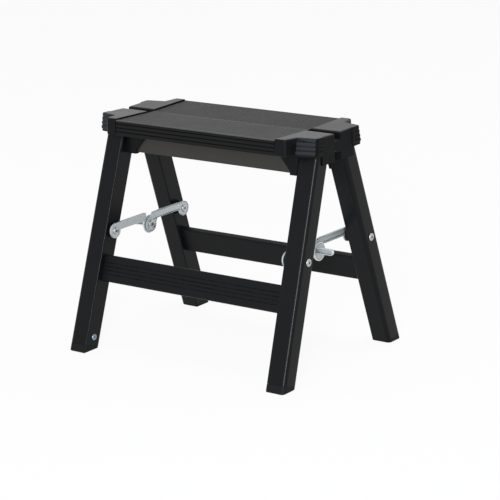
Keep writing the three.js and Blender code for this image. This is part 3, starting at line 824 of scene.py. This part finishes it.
# how each corner of a closed level rim moves when its sides draw in by distance, and the side
# beside the plank by innerDistance
def rimMoves(rim, verts, distance, innerDistance):
    following = {}
    for edge in rim:
        for vert in edge.verts:
            following.setdefault(vert, []).append(edge.other_vert(vert))
    order = [verts[0], following[verts[0]][0]]
    while len(order) < len(following):
        order.append([other for other in following[order[-1]] if other is not order[-2]][0])
    area = sum(a.co.x * b.co.y - b.co.x * a.co.y for a, b in zip(order, order[1:] + order[:1]))
    inward = 1 if area > 0 else -1
    moves = {}
    for index, vert in enumerate(order):
        before = (vert.co - order[index - 1].co).normalized()
        after = (order[(index + 1) % len(order)].co - vert.co).normalized()
        first = Vector((-before.y, before.x, 0)) * inward
        second = Vector((-after.y, after.x, 0)) * inward
        reaches = [innerDistance if normal.x > facing else distance for normal in (first, second)]
        spread = first.x * second.y - second.x * first.y
        if abs(spread) < cap["leastTurn"]:  # the two sides are nearly in line
            moves[vert] = first * reaches[0]
        else:
            moves[vert] = Vector(((reaches[0] * second.y - reaches[1] * first.y) / spread,
                                  (reaches[1] * first.x - reaches[0] * second.x) / spread, 0))
    return moves


# draws the block's stepped sides in behind its ribs
def plainBlock(mesh):
    flare = cap["earOuter"] + cap["rootFlare"]
    for vert in mesh.verts:
        spot = vert.co
        if spot.x > flare - cap["blockMargin"] and spot.y < cap["blockBack"] + cap["blockMargin"]:
            slant = cap["front"] - cap["recess"] * (cap["outer"] - spot.x) / (cap["outer"] - flare)
            spot.y = max(spot.y, slant)
            spot.x = min(spot.x, cap["outer"])
    bmesh.ops.remove_doubles(mesh, verts=mesh.verts, dist=cap["blockMerge"])
    bmesh.ops.dissolve_degenerate(mesh, dist=near["plane"], edges=mesh.edges)


# cuts the top away and rebuilds it with a rounded edge
def roundedTop(mesh):
    level = cap["top"] - cap["rounding"]
    geom = mesh.verts[:] + mesh.edges[:] + mesh.faces[:]
    bmesh.ops.bisect_plane(mesh, geom=geom, dist=near["cut"], plane_co=(0, 0, level), plane_no=(0, 0, 1),
                           clear_outer=True)
    onRim = [vert for vert in mesh.verts if vert.is_boundary and abs(vert.co.z - level) < near["plane"]]
    bmesh.ops.remove_doubles(mesh, verts=onRim, dist=cap["rimMerge"])
    rim = levelRim(mesh, level)
    straight = []
    for vert in dict.fromkeys(vert for edge in rim for vert in edge.verts):
        first, second = [edge.other_vert(vert).co - vert.co for edge in vert.link_edges if edge in rim]
        if first.angle(-second) < cap["straightAngle"]:
            straight.append(vert)
    bmesh.ops.dissolve_verts(mesh, verts=straight)
    rim = levelRim(mesh, level)
    height = drawn = innerDrawn = 0
    for step in range(1, cap["roundingSteps"] + 1):
        turn = step / cap["roundingSteps"] * math.pi / 2
        newHeight = cap["rounding"] * math.sin(turn)
        newDrawn = cap["rounding"] * (1 - math.cos(turn))
        newInner = cap["innerRounding"] * (1 - math.cos(turn))
        verts, rim = ringAmong(bmesh.ops.extrude_edge_only(mesh, edges=rim)["geom"])
        for vert, move in rimMoves(rim, verts, newDrawn - drawn, newInner - innerDrawn).items():
            vert.co += move + Vector((0, 0, newHeight - height))
        height, drawn, innerDrawn = newHeight, newDrawn, newInner
    bmesh.ops.contextual_create(mesh, geom=rim)
    inOrder(mesh)


def makeEndCap(half, side):
    prefix = half + "_" + side
    node = prefix + "_end_cap"
    mesh = copyOf(node)
    place = deckFrame(half) @ mirrorFor(half, side)
    intoPlace(mesh, place.inverted())
    plainBlock(mesh)
    roundedTop(mesh)
    flattened(mesh)
    for face in mesh.faces:  # the inner wall, the outer end and the front are duller than the top
        if abs(face.normal.x) > cap["wallFacing"]:
            face.material_index = 1
        elif face.normal.y < -cap["frontFacing"]:
            face.material_index = 3
    intoPlace(mesh, place)
    joined(mesh, blockRibs(half, side))
    looks = ["cap_plastic", "capWall", "ribSheenPlastic", "capFront"]
    intoObject(mesh, prefix + "_end_cap_shell", node, "cap_plastic", looks, cap["sharpAngle"])


for half in halves:
    for side in sides:
        makeEndCap(half, side)
print("end caps made")

link = {
    "sharpAngle": 40,
    "leastLength": .9 * mm,
    "edge": .25 * mm,
    "edgeSteps": 2,
    "leastSide": 300 * mm * mm,
    "thickness": 1.8 * mm,
    "flange": 2.4 * mm,
    "grooveInset": .5 * mm,
    "groove": .6 * mm,
    "grooveDepth": .35 * mm,
    "discRadius": 12.05 * mm,
    "discRim": 1.5 * mm,
    "discProud": .35 * mm,
    "discOverlap": .02 * mm,
    "discLine": .03 * mm,
    "discSlope": .05 * mm,
    "discSteps": 60,
    "tabLength": 25 * mm,
    "tabLift": 3 * mm,
    "tabFront": -8.4 * mm,
    "tabRim": .3 * mm,
    "tabWall": 1.9 * mm,
    "tabFacing": .6,
}


def largeSides(mesh):
    mesh.normal_update()
    return [face for face in mesh.faces
            if abs(face.normal.x) > facing and face.calc_area() > link["leastSide"]]


# the flat sides of the rear link have a shallow groove just inside their edges, whose faces carry painted
# shade
def grooveSides(mesh):
    flats = largeSides(mesh)
    bmesh.ops.inset_region(mesh, faces=flats, thickness=link["grooveInset"], use_even_offset=True,
                           use_boundary=True)
    made = bmesh.ops.inset_region(mesh, faces=flats, thickness=link["groove"], depth=-link["grooveDepth"],
                                  use_even_offset=True, use_boundary=True)
    for face in made["faces"]:
        face.material_index = 1


# a raised ring around the front link's disc, painted bright as a highlight, with a line of painted shade
# inside it
def discRing(side, plate, knuckle):
    mesh = bmesh.new()
    outer, edge = link["discRadius"], link["edge"]
    inner, line = outer - link["discRim"], plate + link["discLine"]
    back, crown = plate - link["thickness"] + link["discOverlap"], plate + link["discProud"]
    profile = [
        (back, inner - link["groove"]),
        (back, outer - edge),
        (back + edge, outer),
        (crown - edge, outer),
        (crown, outer - edge),
        (crown, inner),
        (line, inner - link["discSlope"]),
        (line, inner - link["groove"]),
    ]
    spun(mesh, profile, knuckle, True, link["discSteps"])
    for face in mesh.faces:
        middle = face.calc_center_median() - knuckle
        onRing = math.hypot(middle.y, middle.z) > inner - 2 * link["discSlope"]
        face.material_index = 2 if onRing else 1
    intoPlace(mesh, mirrorFor("front", side))
    return mesh


# the finger tab is a tray whose rim and outer walls carry a painted highlight, whose inner walls carry
# painted shade, and whose floor is plain
def markTab(mesh, plate, knuckle):
    mesh.normal_update()
    for face in mesh.faces:
        spot = face.calc_center_median()
        if abs(spot.x) - plate < link["flange"]:
            continue
        reach = math.copysign(plate + link["tabLength"] / 2, spot.x)
        tabMiddle = Vector((reach, spot.y, knuckle.z + link["tabLift"]))
        onRim = spot.y < link["tabFront"] + link["tabRim"]
        inTray = spot.y < link["tabFront"] + link["tabWall"] and face.normal.dot(tabMiddle - spot) > 0
        if face.normal.y <= -link["tabFacing"] and not onRim:
            continue
        face.material_index = 1 if inTray and not onRim else 2


def middleOf(node):
    low, high = (Vector(corner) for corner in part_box(node))
    return (low + high) / 2


def makeLinks(side):
    knuckle = middleOf(side + "_knuckle_rivet")
    knuckle.x = 0
    for which in ("front", "rear"):
        node = f"{side}_{which}_link"
        mesh = copyOf(node)
        flattened(mesh)
        plate = max(abs(face.calc_center_median().x) for face in largeSides(mesh))
        if which == "rear":
            grooveSides(mesh)
        bevelled(mesh, link)
        if which == "front":
            markTab(mesh, plate, knuckle)
            joined(mesh, discRing(side, plate, knuckle))
        intoObject(mesh, node + "_plate", node, "zinc", ["zincStay", "zincShade", "zincRimHighlight"])


for side in sides:
    makeLinks(side)
print("stays made")

turned = {
    "steps": 36,
    "shank": 3 * mm,
    "headHeight": 1.7 * mm,
    "stayHead": 5 * mm,
    "knuckleHead": 6.5 * mm,
    "screwHead": 4.3 * mm,
    "screwHeadHeight": 2 * mm,
    "screwShank": 2 * mm,
    "screwTip": .8 * mm,
    "screwTipShare": .6,
    "hole": 3.1 * mm,
    "edge": .25 * mm,
    "edgeBulge": .3,
    "flange": 9.4 * mm,
    "flangeShare": .6,
    "dishShare": .3,
}

# a domed head with a dished middle, as shares of its height below the crown and of its radius
domedHead = (
    (.36, 0), (.34, .22), (.20, .34), (.02, .42), (0, .50),
    (.05, .62), (.22, .82), (.45, .94), (.72, 1), (1, 1),
)


def headProfile(radius, height):
    return [(height * along, radius * out) for along, out in domedHead]


def bothEnds(end, length):  # the same profile again from the other end
    return end + [(length - along, out) for along, out in reversed(end)]


# rebuilds a node as a turned piece, with the profile that fits its length and radius
def makeTurned(node, slot, place, profileFor, look=None):
    toLocal = place.inverted()
    mesh = copyOf(node)
    spots = [toLocal @ vert.co for vert in mesh.verts]
    mesh.clear()
    low = Vector([min(spot[axis] for spot in spots) for axis in range(3)])
    high = Vector([max(spot[axis] for spot in spots) for axis in range(3)])
    centre = (low + high) / 2
    length, radius = high.x - low.x, (high.y - low.y) / 2
    profile, closed = profileFor(length, radius)
    spun(mesh, [(low.x + along, out) for along, out in profile], centre, closed, turned["steps"])
    # faces in the head's dish take the darker zinc, a painted shade
    for face in mesh.faces:
        middle = face.calc_center_median() - centre
        if math.hypot(middle.y, middle.z) < turned["dishShare"] * radius:
            face.material_index = 1
    intoPlace(mesh, place)
    intoObject(mesh, node + "_turned", node, slot, [look or slot, "zincShade"])


def stayRivetProfile(length, radius):
    head, shank = turned["headHeight"], turned["shank"]
    return bothEnds(headProfile(turned["stayHead"], head) + [(head, shank)], length), False


def knuckleRivetProfile(length, radius):
    head, shank = turned["headHeight"], turned["shank"]
    return headProfile(turned["knuckleHead"], head) + [(head, shank), (length, shank), (length, 0)], False


def screwProfile(length, radius):
    head, shank = turned["screwHeadHeight"], turned["screwShank"]
    tip = [(length - turned["screwTip"], shank), (length, turned["screwTipShare"] * shank), (length, 0)]
    return headProfile(turned["screwHead"], head) + [(head, shank)] + tip, False


def tailProfile(length, radius):
    edge, shank = turned["edge"], turned["shank"]
    return [(0, 0), (0, shank), (length - edge, shank), (length, shank - edge), (length, 0)], False


def washerProfile(length, radius):
    edge, hole = turned["edge"], turned["hole"]
    bulge = edge * turned["edgeBulge"]
    side = [(0, hole), (0, radius - edge), (bulge, radius - bulge), (edge, radius)]
    return bothEnds(side, length), True


# a bush against the leg, with a wide flange against the link
def spacerProfile(length, radius):
    edge, hole, flange = turned["edge"], turned["hole"], turned["flange"]
    step = turned["flangeShare"] * length
    return [(0, hole), (0, flange - edge), (edge, flange), (step - edge, flange), (step, flange - edge),
            (step, radius), (length, radius), (length, hole)], True


for side in sides:
    place = mirrorFor("front", side)
    makeTurned(side + "_knuckle_rivet", "zinc", place, knuckleRivetProfile)
    makeTurned(side + "_knuckle_washer", "zinc", place, washerProfile)
    makeTurned(side + "_knuckle_tail", "zinc", place, tailProfile)
    for half in halves:
        prefix = f"{half}_{side}"
        place = halfFrame(half) @ mirrorFor(half, side)
        makeTurned(prefix + "_stay_rivet", "zinc", place, stayRivetProfile)
        makeTurned(prefix + "_stay_spacer", "foot_plastic", place, spacerProfile)
        makeTurned(prefix + "_foot_screw", "zinc", legFrame(half, side), screwProfile, "zincScrew")
print("hardware turned")

# the nodes that keep their CAD shape take the finish of their slot
for piece in frame["nodes"].values():
    if not piece.hide_render:
        slot = piece.material_slots[0]
        slot.material = finishes[slot.material.name.split(".")[0]]
print("other nodes finished")

studio = {
    "floorSize": 16,
    "floorTone": (.8, .8, .8),
    "white": (1.0, 1.0, 1.0),
    "backgroundShare": .92,
    "ambient": .5,
    "aim": (0, 0, .15),
}
lamps = {
    "keyLamp": {"at": (1.41, -2.44, 1.026), "size": (.5, 1.3), "power": 80, "tint": (.88, .94, 1)},
    "topLamp": {"at": (.3, .4, 3.0), "size": (2.2, 2.2), "power": 30, "tint": (1, 1, 1)},
}


def rayShare(f):  # 1 for camera, glossy and transmission rays
    seen = f.add("ShaderNodeLightPath", output="Is Camera Ray")
    gloss = f.add("ShaderNodeLightPath", output="Is Glossy Ray")
    through = f.add("ShaderNodeLightPath", output="Is Transmission Ray")
    return seen.maths("MAXIMUM", seen.maths("MAXIMUM", seen, gloss), through)


def makeFloor():
    mesh = bmesh.new()
    bmesh.ops.create_grid(mesh, x_segments=1, y_segments=1, size=studio["floorSize"] / 2)
    data = bpy.data.meshes.new("floor")
    mesh.to_mesh(data)
    mesh.free()
    floor = bpy.data.objects.new("floor", data)
    bpy.context.scene.collection.objects.link(floor)
    f = newFinish("floorWhite")
    matt = f.add("ShaderNodeBsdfDiffuse", {}, {"Color": studio["floorTone"]})
    white = f.add("ShaderNodeEmission", {}, {"Color": studio["white"], "Strength": 1.0})
    share = rayShare(f) * studio["backgroundShare"]
    shown = f.add("ShaderNodeMixShader", {}, {0: share, 1: matt, 2: white})
    f.add("ShaderNodeOutputMaterial", {}, {"Surface": shown})
    data.materials.append(f.owner)


def makeWorld():
    world = bpy.data.worlds.new("studio")
    bpy.context.scene.world = world
    f = Finish(world)
    strength = f.spread(rayShare(f), studio["ambient"], 1.0)
    back = f.add("ShaderNodeBackground", {}, {"Color": studio["white"], "Strength": strength})
    f.add("ShaderNodeOutputWorld", {}, {"Surface": back})


def makeLamps():
    for name, row in lamps.items():
        lamp = bpy.data.lights.new(name, "AREA")
        lamp.shape = "RECTANGLE"
        lamp.size, lamp.size_y = row["size"]
        lamp.energy = row["power"]
        lamp.color = row["tint"]
        holder = bpy.data.objects.new(name, lamp)
        holder.location = row["at"]
        aim = Vector(studio["aim"]) - Vector(row["at"])
        holder.rotation_euler = aim.to_track_quat("-Z", "Y").to_euler()
        bpy.context.scene.collection.objects.link(holder)


makeFloor()
makeWorld()
makeLamps()
bpy.context.scene.view_settings.view_transform = "Standard"
print("floor, world and lamps made")
